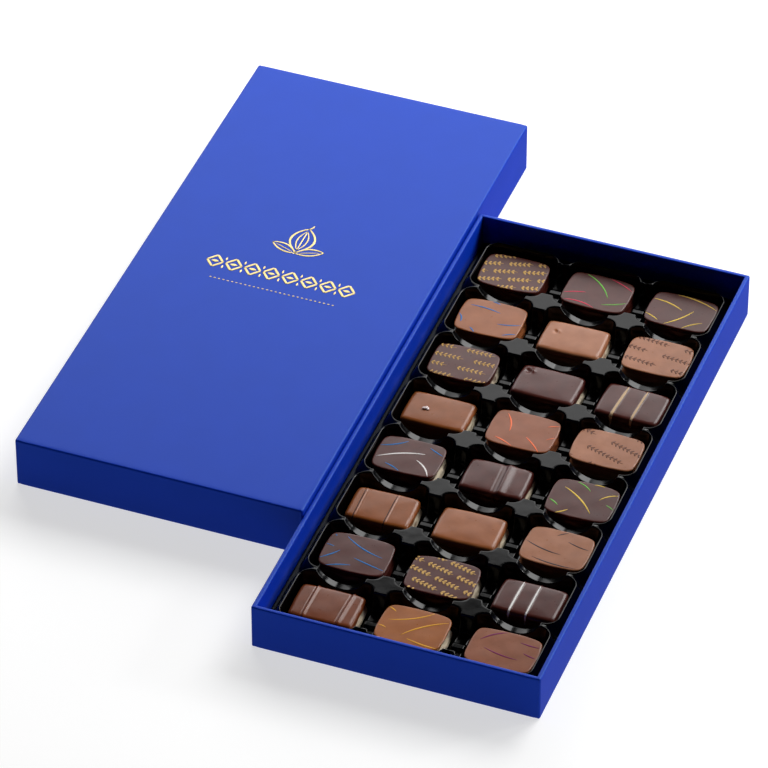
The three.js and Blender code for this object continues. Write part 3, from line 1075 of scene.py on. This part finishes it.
def paintedLine(praline, start, end, bow, halfWidth, mesh=lineMesh):
    # A line on a praline's top, thinner towards both ends and cut off at the rim.
    line = bowedLine(start, end, bow, mesh["along"])
    inside = praline.outward(line[:, 0], line[:, 1]) < 1.0
    if inside.sum() < min(lineMesh["fewest"], mesh["along"] / 2):
        return None
    line = line[inside]
    width = taperedWidth(lineMesh["widen"] * halfWidth, len(line), mesh["taper"])
    height = praline.topHeight(line[:, 0], line[:, 1])
    path = praline.toWorld(np.stack([line[:, 0], line[:, 1], height], -1))
    return ribbon(path, upwards(path), width, lineMesh["height"] * width / halfWidth)


# On each praline: colour, start, end, bow to the left, and half width
paintedLines = {
    "b1": [
        ("green", (-8.0, 10.0), (5.2, -2.2), 1.6, 0.3), ("green", (4.0, -7.0), (13.5, -2.6), -0.6, 0.24),
        ("pink", (-13.5, -4.8), (-4.6, -1.6), 0.3, 0.24), ("pink", (-12.0, -9.0), (1.5, -10.2), 1.2, 0.28),
        ("pink", (2.6, 10.3), (13.5, 5.4), 0.5, 0.24),
    ],
    "c1": [
        ("yellow", (-13.4, 4.5), (0.0, 1.0), 0.9, 0.32), ("yellow", (-4.8, 10.2), (13.4, 6.0), 1.2, 0.3),
        ("yellow", (-13.8, -5.6), (-7.5, -8.5), 0.3, 0.26), ("yellow", (-4.5, -10.0), (4.8, 2.0), -0.9, 0.3),
        ("yellow", (3.4, -10.2), (10.6, -4.0), 0.5, 0.26),
    ],
    "a2": [
        ("blue", (-10.8, 6.0), (2.9, 4.4), 0.6, 0.28), ("blue", (-2.6, 10.7), (1.2, 9.9), 0.2, 0.26),
        ("blue", (-13.6, -0.8), (-11.4, -6.0), 0.7, 0.28), ("blue", (-6.5, -8.2), (-4.0, -10.7), 0.2, 0.26),
        ("blue", (3.6, -2.6), (13.2, -0.2), -0.5, 0.26), ("blue", (7.8, -9.0), (13.6, -6.6), 0.3, 0.26),
    ],
    "b4": [
        ("orange", (-9.3, 8.4), (-5.2, -2.0), 0.9, 0.3), ("orange", (-9.8, -7.0), (-1.6, -10.4), 0.3, 0.3),
        ("orange", (2.4, -3.2), (10.0, -10.4), 0.3, 0.3), ("orange", (8.6, 5.7), (13.6, 7.8), 0.2, 0.24),
        ("orange", (10.6, -2.2), (13.9, 0.4), 0.1, 0.2),
    ],
    "a5": [
        ("blue", (-13.6, 3.0), (-3.2, 8.8), -0.9, 0.3), ("blue", (6.6, 7.6), (13.0, 4.4), -0.2, 0.28),
        ("blue", (-8.0, -6.8), (-1.2, -9.8), 0.3, 0.28), ("white", (-12.8, -4.1), (5.8, 3.2), 1.1, 0.32),
        ("white", (3.7, -1.4), (11.0, -9.4), 1.0, 0.34),
    ],
    "c5": [
        ("yellow", (-9.2, 5.6), (5.4, -7.0), 1.3, 0.34), ("yellow", (6.3, 2.0), (13.5, 7.4), 0.9, 0.3),
        ("yellow", (-8.2, -10.6), (-3.9, -7.3), -0.2, 0.28), ("yellow", (1.8, 10.5), (6.1, 10.6), 0.1, 0.26),
        ("green", (-5.0, 10.1), (1.4, 6.2), 0.5, 0.28), ("green", (-13.0, -3.2), (-8.6, -6.0), 0.2, 0.28),
        ("green", (9.9, 0.2), (13.6, -1.8), 0.1, 0.22),
    ],
    "c6": [
        ("slate", (-13.2, 0.7), (2.5, -3.2), -0.9, 0.26), ("slate", (-7.9, -7.9), (11.0, -9.1), -0.9, 0.26),
        ("slate", (-2.4, 7.2), (1.6, 10.2), 0.2, 0.2), ("slate", (3.0, 5.1), (12.3, 3.0), -0.4, 0.24),
    ],
    "a7": [
        ("blue", (-6.8, 8.8), (10.4, 0.9), -1.3, 0.3), ("blue", (-0.4, -2.5), (13.2, -6.0), -0.3, 0.28),
        ("blue", (-13.5, -6.6), (-7.1, 0.0), -0.4, 0.3), ("blue", (-9.6, -10.2), (-0.3, -7.0), 0.3, 0.28),
        ("blue", (-13.4, 2.0), (-10.1, 1.5), 0.1, 0.22), ("blue", (-12.0, 8.6), (-11.2, 7.6), 0.1, 0.2),
    ],
    "b8": [
        ("amber", (-13.0, 8.3), (-9.3, 6.4), 0.2, 0.3), ("amber", (-10.8, 1.2), (5.4, 10.4), -1.5, 0.32),
        ("amber", (-3.1, -5.8), (12.4, 7.1), 1.3, 0.34), ("amber", (-13.4, -2.9), (-9.9, -3.7), 0.2, 0.26),
        ("amber", (-12.4, -9.6), (-8.4, -10.6), 0.2, 0.3), ("amber", (0.0, -6.9), (13.4, -8.4), -0.6, 0.34),
    ],
    "c8": [
        ("magenta", (-10.6, 2.9), (-1.4, 10.2), 0.8, 0.36),
        ("magenta", (-7.7, -0.9), (7.0, -3.4), -0.8, 0.34),
        ("magenta", (4.9, 6.4), (13.6, 5.9), -0.3, 0.34), ("magenta", (7.9, 0.9), (13.9, -0.5), -0.2, 0.32),
        ("magenta", (-4.7, -9.2), (-3.9, -10.6), 0.1, 0.2),
    ],
}

# Rows of small leaf sprigs: colour, the rows' slope, a sprig's length and middle, distance between
# sprigs and between rows, how far every other row is moved on, and a factor on the line widths
sprigRows = {
    "a1": ("gold", 14.4, 10.4, (1.2, 6.5), 12.5, 5.2, 6.2, 1.0),
    "a3": ("gold", -1, 12.6, (4.8, 8.3), 17.0, 6.0, -11.9, 0.75),
    "b7": ("gold", -17.5, 12.2, (3.0, -3.0), 13.9, 5.5, -7.1, 1.1),
    "c2": ("umber", -7, 14.2, (-6.2, -4.7), 20.8, 7.1, -6.9, 0.8),
    "c4": ("umber", -18.2, 18.2, (0.4, -3.4), 25.8, 8.0, 6.3, 0.8),
}
sprig = {
    "stem": 0.17,  # half widths of stem and leaf
    "leaf": 0.38,
    "leafLength": 1.3,
    "leafStep": 1.9,
    "leafLean": 0.8,
    "leafBow": 0.15,
    "leafFoot": 0.05,  # how far from the stem's middle line a leaf starts
    "sway": 0.25,
    "stemStep": 3.0,
    "ends": (0.2, 1.0),  # bare stem at its foot and at its tip
}
sprigReach = {"rows": (-4, 5), "places": (-3, 4), "farthest": (24, 17)}


def sprigLines(length, thickness):
    # A gently waved stem with pairs of leaves that point forward, about its middle.
    ends = np.linspace(-length / 2, length / 2, int(round(length / sprig["stemStep"])) + 1)
    lines = []
    for index, (x0, x1) in enumerate(zip(ends[:-1], ends[1:])):
        lines.append(((x0, 0), (x1, 0), sprig["sway"] * (-1) ** index, sprig["stem"] * thickness))
    foot, tip = sprig["ends"]
    for x in np.arange(foot - length / 2, length / 2 - tip, sprig["leafStep"]):
        for side in (-1, 1):
            end = (x + sprig["leafLean"] * sprig["leafLength"], side * sprig["leafLength"])
            start = (x, sprig["leafFoot"] * side)
            lines.append((start, end, -sprig["leafBow"] * side, sprig["leaf"] * thickness))
    return lines


def sprigField(slope, length, middle, pitch, rowPitch, shift, thickness):
    # Sprigs in sloping rows, every other row moved on along itself.
    turn = np.radians(slope)
    c, s = np.cos(turn), np.sin(turn)
    lines = []
    for row in range(*sprigReach["rows"]):
        for place in range(*sprigReach["places"]):
            along, up = place * pitch + (row % 2) * shift, row * rowPitch
            x, y = middle[0] + c * along - s * up, middle[1] + s * along + c * up
            if abs(x) > sprigReach["farthest"][0] or abs(y) > sprigReach["farthest"][1]:
                continue
            for start, end, bow, halfWidth in sprigLines(length, thickness):
                moved = [(x + c * px - s * py, y + s * px + c * py) for px, py in (start, end)]
                lines.append((moved[0], moved[1], bow, halfWidth))
    return lines


# Stripes on the ridges: colour, half width, the height at which they end, and sideways offset
stripes = {
    "c3": [("tan", 0.6, 2.0, 0.0), ("tan", 0.5, 3.4, 0.0)],
    "c7": [("white", 0.42, 3.6, 0.0), ("white", 0.36, 3.0, 0.0)],
    "a6": [("brown", 0.26, 4.2, -0.28), ("brown", 0.28, 4.0, -0.28)],
}
stripeMesh = {
    "overSteps": 26,
    "backEnd": 0.985,
    "halfHeight": 0.09,
    "backWidth": 0.35,  # share of its width at the back, and how fast it widens from there
    "widening": 6,
    "thinFrom": 0.75,  # share of its length from which it thins, and by how much
    "thinning": 0.75,
}


def stripeOnRidge(praline, ridge, halfWidth, lowest, offset):
    # A line along a ridge's crest: over the top from the back rim to the front one, then down the
    # front along the side's section, thinner as it goes down.
    at, _, _, drift = ridge
    halfY = praline.half[1]
    rimY = halfY - praline.rimInset
    overY = np.linspace(rimY * stripeMesh["backEnd"], -rimY, stripeMesh["overSteps"])
    section = praline.section[::-1]
    section = section[section[:, 1] > lowest][1:]
    downY = -(halfY - section[:, 0])
    y = np.concatenate([overY, downY])
    x = at - drift * y / halfY / 2 + offset
    shift = praline.outwardShift(x, y)
    overZ = praline.topHeight(x[: len(overY)], overY)
    height = np.concatenate([overZ, section[:, 1]])
    upright = smoothStep(pralineRelief["shoulder"], praline.rimHeight, height)
    upright[: len(overY)] = 1
    lift = praline.ridgeHeight(x, y)
    lift[: len(overY)] = 0
    height = height + lift * upright
    y = y - (lift + shift) * (1 - upright) * (y < -rimY)
    path = np.stack([x, y, height], -1)
    tangent = np.gradient(path, axis=0)
    normal = np.cross(tangent, [1.0, 0, 0])
    normal *= np.where(normal[:, 2:] < normal[:, 1:2], -1, 1)  # up on the top, forward on the front
    normal /= np.linalg.norm(normal, axis=1, keepdims=True)
    share = np.linspace(0, 1, len(path))
    width = halfWidth * np.minimum(1, stripeMesh["backWidth"] + stripeMesh["widening"] * share)
    width = width * (1 - stripeMesh["thinning"] * smoothStep(stripeMesh["thinFrom"], 1, share))
    return ribbon(praline.toWorld(path), normal, width, np.full(len(path), stripeMesh["halfHeight"]))


def decorate(name, shapes):
    # One piece for all the lines on a praline, with a material for each colour.
    used = sorted({color for color, _ in shapes})
    points, faces = joinShapes([shape for _, shape in shapes])
    indices = np.concatenate([np.full(len(shape[1]), used.index(color)) for color, shape in shapes])
    makePiece(name, points, faces, [lineFinish[color] for color in used], indices)


print("decoration")

for name, praline in boxed.items():
    shapes = []
    for color, start, end, bow, halfWidth in paintedLines.get(name, []):
        shapes.append((color, paintedLine(praline, start, end, bow, halfWidth)))
    if name in sprigRows:
        color, *field = sprigRows[name]
        for start, end, bow, halfWidth in sprigField(*field):
            shapes.append((color, paintedLine(praline, start, end, bow, halfWidth, sprigMesh)))
    for ridge, (color, halfWidth, lowest, offset) in zip(praline.ridges, stripes.get(name, [])):
        shapes.append((color, stripeOnRidge(praline, ridge, halfWidth, lowest, offset)))
    shapes = [(color, shape) for color, shape in shapes if shape is not None]
    if shapes:
        decorate("lines_" + name, shapes)

# Flakes of salt on one praline: middle in millimetres from the praline's, half sizes, turn
saltFlakes = {
    "praline": "a4",
    "proud": 0.55,  # how far a flake's middle stands over the chocolate, of its half height
    "power": 3,  # of the superellipsoid
    "uneven": 0.16,  # share by which its radii stray, in ripples of that place and wavelength
    "unevenPlace": 3,
    "unevenLength": 2.3,
    "steepest": 80,  # of its outermost rings
    "rows": 7,
    "around": 10,
    "flakes": [
        ((-5.7, -1.0), (0.95, 0.6, 0.5), 20), ((-4.6, -0.3), (0.8, 0.5, 0.35), -35),
        ((-4.1, -1.1), (0.6, 0.45, 0.3), 60), ((-5.2, 0.1), (0.5, 0.35, 0.3), 10),
    ],
}


def flake(middle, half, turn, seed):
    # A superellipsoid with facets from a coarse mesh and uneven radii.
    steepest, power = saltFlakes["steepest"], saltFlakes["power"]
    rise = np.radians(np.linspace(-steepest, steepest, saltFlakes["rows"]))[:, None]
    bearing = np.arange(saltFlakes["around"]) * fullTurn / saltFlakes["around"]
    x = np.cos(rise) * np.cos(bearing)
    y = np.cos(rise) * np.sin(bearing)
    z = np.sin(rise) + 0 * bearing
    size = (np.abs(x) ** power + np.abs(y) ** power + np.abs(z) ** power) ** (-1 / power)
    place = saltFlakes["unevenPlace"]
    uneven = ripple(place * x + z, place * y - z, seed, saltFlakes["unevenLength"])
    size = size * (1 + saltFlakes["uneven"] * uneven)
    c, s = np.cos(np.radians(turn)), np.sin(np.radians(turn))
    lengthwise, crosswise = x * size * half[0], y * size * half[1]
    rings = np.stack([
        lengthwise * c - crosswise * s + middle[0],
        lengthwise * s + crosswise * c + middle[1],
        z * size * half[2] + middle[2],
    ], -1)
    return closedShell(rings)


def makeSalt():
    # Each flake stands on the chocolate's own height at its place.
    praline = boxed[saltFlakes["praline"]]
    shapes = []
    for seed, (place, half, turn) in enumerate(saltFlakes["flakes"]):
        height = float(praline.topHeight(*np.array(place)))
        points, faces = flake((*place, height + saltFlakes["proud"] * half[2]), half, turn, seed)
        shapes.append((praline.toWorld(points), faces))
    points, faces = joinShapes(shapes)
    piece = makePiece("salt_flakes", points, faces, [saltCrystal])
    piece.data.polygons.foreach_set("use_smooth", np.zeros(len(piece.data.polygons), bool))


print("salt")

makeSalt()

# The lid's stamped ornament: a cocoa pod between two leaves, a band of lozenges and a dotted rule.
# Places are millimetres from the lid's middle; strokes are start, end, bow to the left, half width.
ornament = {
    "lift": 0.03,
    "halfHeight": 0.05,
    "podAt": (0.0, 24.0),
    "pod": [
        ((0, -6), (0, 10.5), 5.2, 0.52), ((0, -6), (0, 10.5), -5.2, 0.52), ((0, -4.6), (0, 8.6), 2.2, 0.3),
        ((0, -4.6), (0, 8.6), -2.2, 0.3), ((0, -4.2), (0, 8), 0, 0.28), ((0, 10.3), (1.4, 13), -0.4, 0.4),
        ((0, -6.8), (11.4, -2.6), 2.4, 0.48), ((0, -6.8), (11.4, -2.6), -1.9, 0.48),
        ((1.6, -6.3), (9.6, -3.3), 0.1, 0.26), ((0, -6.8), (-11.4, -2.6), -2.4, 0.48),
        ((0, -6.8), (-11.4, -2.6), 1.9, 0.48), ((-1.6, -6.3), (-9.6, -3.3), -0.1, 0.26),
    ],
    "bandAt": (0.0, 1.0),
    "lozenges": {
        "count": 8, "pitch": 8.4, "half": (3.5, 3.9), "stroke": 0.6, "taper": 0.12,
        "seed": 1.7, "seedHalfWidth": 0.9, "drop": (1.7, 3.9), "dropHalfWidth": 0.42, "dropTaper": 0.8,
    },
    "ruleAt": (0.0, -9.6),
    "dots": {"count": 29, "pitch": 1.95, "length": 1.1, "halfWidth": 0.36, "taper": 0.9},
    "along": 16,
    "taper": 0.25,
}


def flatStroke(start, end, bow, halfWidth, height, taper):
    # A ribbon that lies level at that height.
    line = bowedLine(start, end, bow, ornament["along"])
    path = np.concatenate([line, np.full((len(line), 1), height)], -1)
    width = taperedWidth(halfWidth, len(line), taper)
    return ribbon(path, upwards(path), width, np.full(len(path), ornament["halfHeight"]))


def makeOrnament():
    # All strokes as one piece, on the lid's top.
    low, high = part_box("lid")
    middle = np.array([low.x + high.x, low.y + high.y]) / 2 / mm
    height = high.z / mm + ornament["lift"]
    shapes = []

    def stroke(at, start, end, bow, halfWidth, taper):
        ends = [middle + np.array(at) + np.array(point) for point in (start, end)]
        shapes.append(flatStroke(*ends, bow, halfWidth, height, taper))

    for start, end, bow, halfWidth in ornament["pod"]:
        stroke(ornament["podAt"], start, end, bow, halfWidth, ornament["taper"])
    band = ornament["lozenges"]
    bandAt = ornament["bandAt"]
    halfX, halfY = band["half"]
    for index in range(band["count"]):
        x = (index - (band["count"] - 1) / 2) * band["pitch"]
        corners = [(x - halfX, 0), (x, halfY), (x + halfX, 0), (x, -halfY)]
        for start, end in zip(corners, corners[1:] + corners[:1]):
            stroke(bandAt, start, end, 0, band["stroke"], band["taper"])
        stroke(bandAt, (x - band["seed"], 0), (x + band["seed"], 0), 0, band["seedHalfWidth"], 1.0)
        if index:
            left = x - band["pitch"] / 2
            for side in (-1, 1):
                near, far = [(left, side * reach) for reach in band["drop"]]
                stroke(bandAt, near, far, 0, band["dropHalfWidth"], band["dropTaper"])
    dots = ornament["dots"]
    for index in range(dots["count"]):
        x = (index - (dots["count"] - 1) / 2) * dots["pitch"]
        half = dots["length"] / 2
        stroke(ornament["ruleAt"], (x - half, 0), (x + half, 0), 0, dots["halfWidth"], dots["taper"])
    points, faces = joinShapes(shapes)
    makePiece("stamped_ornament", points, faces, [foil])


print("ornament")

makeOrnament()

# The stage: a floor in metres; lights as azimuth, elevation, distance, (width, height), radiance
floorPiece = {
    "size": 6.0,
    "below": 0.00005,
    "color": (0.5, 0.5, 0.5),
    "roughness": 0.6,
    "specular": 0.1,
    "glow": 0.63,
}
lights = {
    "key": (158.0, 40.0, 1500.0, (760.0, 700.0), 12.3),
    "sheen": (203.0, 29.5, 800.0, (760.0, 500.0), 3.9),
    "low": (116.0, 13.0, 1600.0, (800.0, 380.0), 6.5),
    "spark": (126.0, 22.0, 1600.0, (240.0, 150.0), 42.0),
}
sky = {
    "front": 0.13,
    "back": 0.75,
    "backAzimuth": 195.0,
    "change": (-0.3, 0.7),  # cosines of the angle to the back between which it changes
    "below": 7.0,  # factor below the horizon, where only the walls' gloss can see it
    "horizon": (-0.15, 0.0),
}


def makeFloor():
    # A pale floor that glows a little, just under the box.
    half = floorPiece["size"] / 2
    mesh = bpy.data.meshes.new("floor")
    z = -floorPiece["below"]
    corners = [(-half, -half, z), (half, -half, z), (half, half, z), (-half, half, z)]
    mesh.from_pydata(corners, [], [(0, 1, 2, 3)])
    finish = Finish("paleFloor", floorPiece)
    finish.shader.inputs["Emission Color"].default_value = (1, 1, 1, 1)
    finish.shader.inputs["Emission Strength"].default_value = floorPiece["glow"]
    mesh.materials.append(finish.material)
    floor = bpy.data.objects.new("floor", mesh)
    floor.visible_glossy = False  # so that the walls' gloss stays a clear blue
    bpy.context.scene.collection.objects.link(floor)


def makeLight(name, azimuth, elevation, distance, size, radiance):
    # A rectangular soft light that faces the box, whose power gives it the stated radiance.
    look = viewDirection(azimuth, elevation)
    width, height = size
    lamp = bpy.data.lights.new(name, "AREA")
    lamp.shape = "RECTANGLE"
    lamp.size = width * mm
    lamp.size_y = height * mm
    lamp.energy = radiance * np.pi * width * height * mm * mm
    holder = bpy.data.objects.new(name, lamp)
    holder.location = (Vector(cameraView["target"]) - look * distance) * mm
    holder.rotation_euler = look.to_track_quat("-Z", "Y").to_euler()
    bpy.context.scene.collection.objects.link(holder)


def makeWorld():
    # A sky that is dim in front and brighter behind the box: its strength goes with the direction's
    # cosine to the back, times a factor that goes with its height.
    world = bpy.data.worlds.new("studio")
    world.use_nodes = True
    tree = world.node_tree
    place = tree.nodes.new("ShaderNodeTexCoord").outputs["Generated"]

    def between(source, ends, low, high):
        node = tree.nodes.new("ShaderNodeMapRange")
        node.interpolation_type = "SMOOTHSTEP"
        node.inputs["From Min"].default_value, node.inputs["From Max"].default_value = ends
        node.inputs["To Min"].default_value = low
        node.inputs["To Max"].default_value = high
        tree.links.new(source, node.inputs["Value"])
        return node.outputs["Result"]

    facing = tree.nodes.new("ShaderNodeVectorMath")
    facing.operation = "DOT_PRODUCT"
    tree.links.new(place, facing.inputs[0])
    facing.inputs[1].default_value = -viewDirection(sky["backAzimuth"], 0)
    parts = tree.nodes.new("ShaderNodeSeparateXYZ")
    tree.links.new(place, parts.inputs["Vector"])
    product = tree.nodes.new("ShaderNodeMath")
    product.operation = "MULTIPLY"
    around = between(facing.outputs["Value"], sky["change"], sky["front"], sky["back"])
    tree.links.new(around, product.inputs[0])
    tree.links.new(between(parts.outputs["Z"], sky["horizon"], sky["below"], 1.0), product.inputs[1])
    tree.links.new(product.outputs["Value"], tree.nodes["Background"].inputs["Strength"])
    bpy.context.scene.world = world


print("floor, lights and world")

makeFloor()
makeWorld()
for lightName, light in lights.items():
    makeLight(lightName, *light)
bpy.context.scene.view_settings.view_transform = "Standard"
